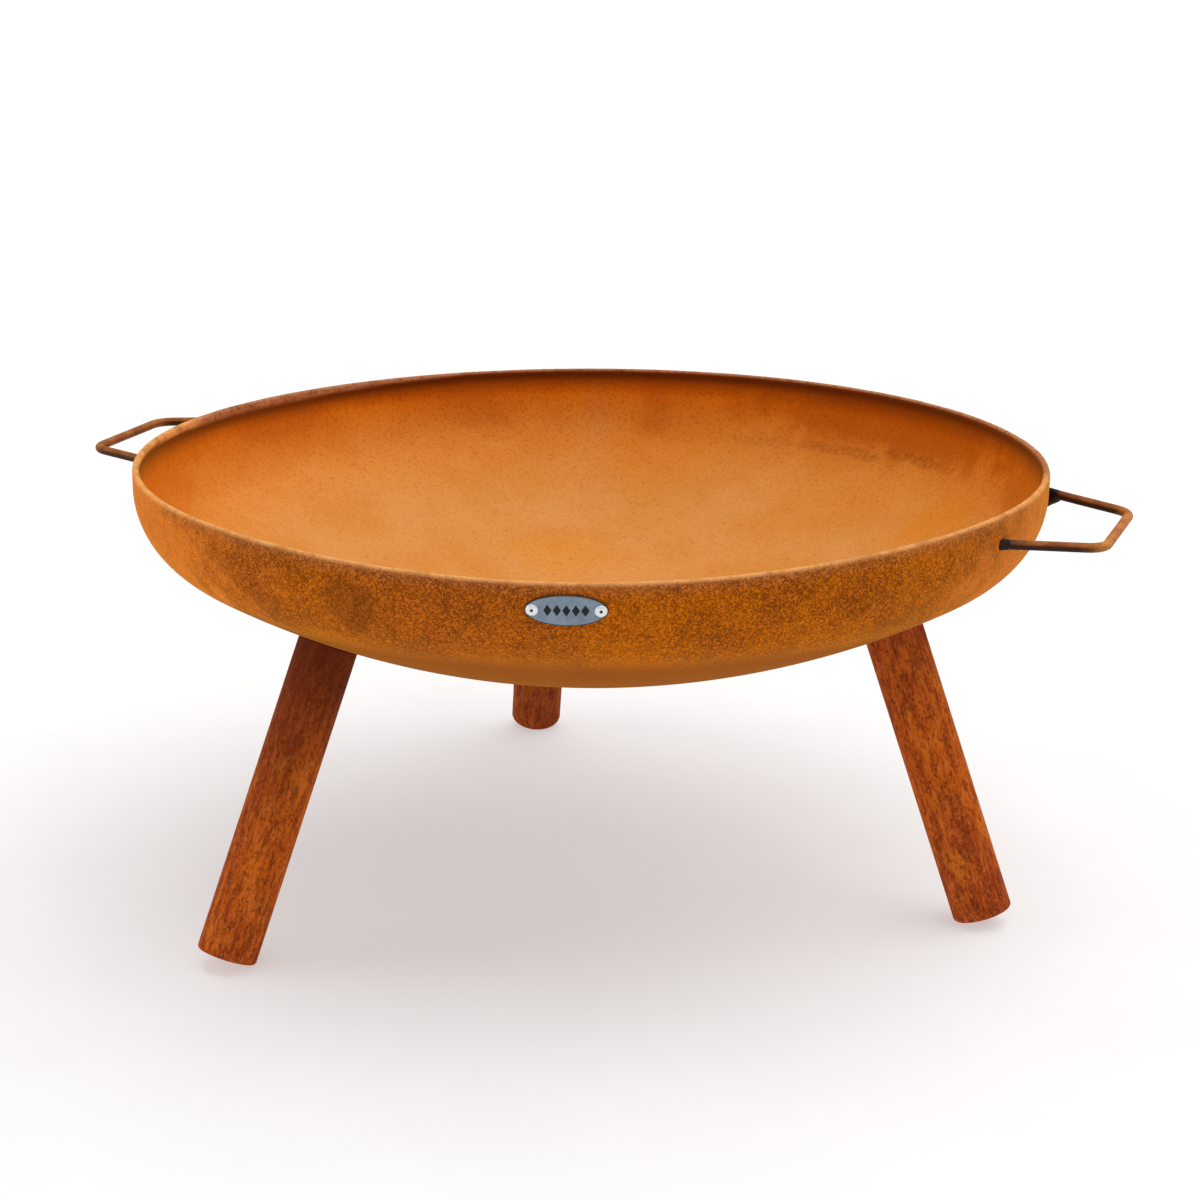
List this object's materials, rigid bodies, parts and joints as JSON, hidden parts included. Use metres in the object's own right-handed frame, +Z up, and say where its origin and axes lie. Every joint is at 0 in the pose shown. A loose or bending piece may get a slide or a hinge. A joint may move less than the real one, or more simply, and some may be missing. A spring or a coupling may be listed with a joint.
{
  "type": "fire pit",
  "caption": "Round dished fire bowl in rusted weathering steel with welded bar carry handles, a riveted oval badge and splayed screw-on tube legs.",
  "frame": {"origin": "on the ground, in the middle of the overall box: on the bowl's own axis in X and Y, and level with the lowest points of the feet", "axes": "+Z up out of the bowl; the two carry handles lie along X; the badge faces -Y, slightly towards +X; the right leg stands almost under the +X handle"},
  "size_m": [0.9382, 0.8, 0.3768],
  "materials": {
    "bowl_rust": "matte",
    "leg_rust": "matte",
    "bar_brown": "matte",
    "weld_scorched": "matte",
    "fastener_zinc": "satin",
    "badge_grey_blue": "satin",
    "rivet_aluminium": "satin"
  },
  "bodies": {
    "root": {"bowl_shell": "bowl_rust", "handle_right": "bar_brown", "handle_left": "bar_brown", "handle_weld_right_a": "weld_scorched", "handle_weld_right_b": "weld_scorched", "handle_weld_left_a": "weld_scorched", "handle_weld_left_b": "weld_scorched", "leg_tube_right": "leg_rust", "leg_tube_rear": "leg_rust", "leg_tube_left": "leg_rust", "leg_plate_right": "fastener_zinc", "leg_plate_rear": "fastener_zinc", "leg_plate_left": "fastener_zinc", "stud_right": "fastener_zinc", "stud_rear": "fastener_zinc", "stud_left": "fastener_zinc", "stud_weld_right": "weld_scorched", "stud_weld_rear": "weld_scorched", "stud_weld_left": "weld_scorched", "nut_right": "fastener_zinc", "nut_rear": "fastener_zinc", "nut_left": "fastener_zinc", "badge_plate": "badge_grey_blue", "badge_rivet_left": "rivet_aluminium", "badge_rivet_right": "rivet_aluminium"}
  },
  "joints": []
}
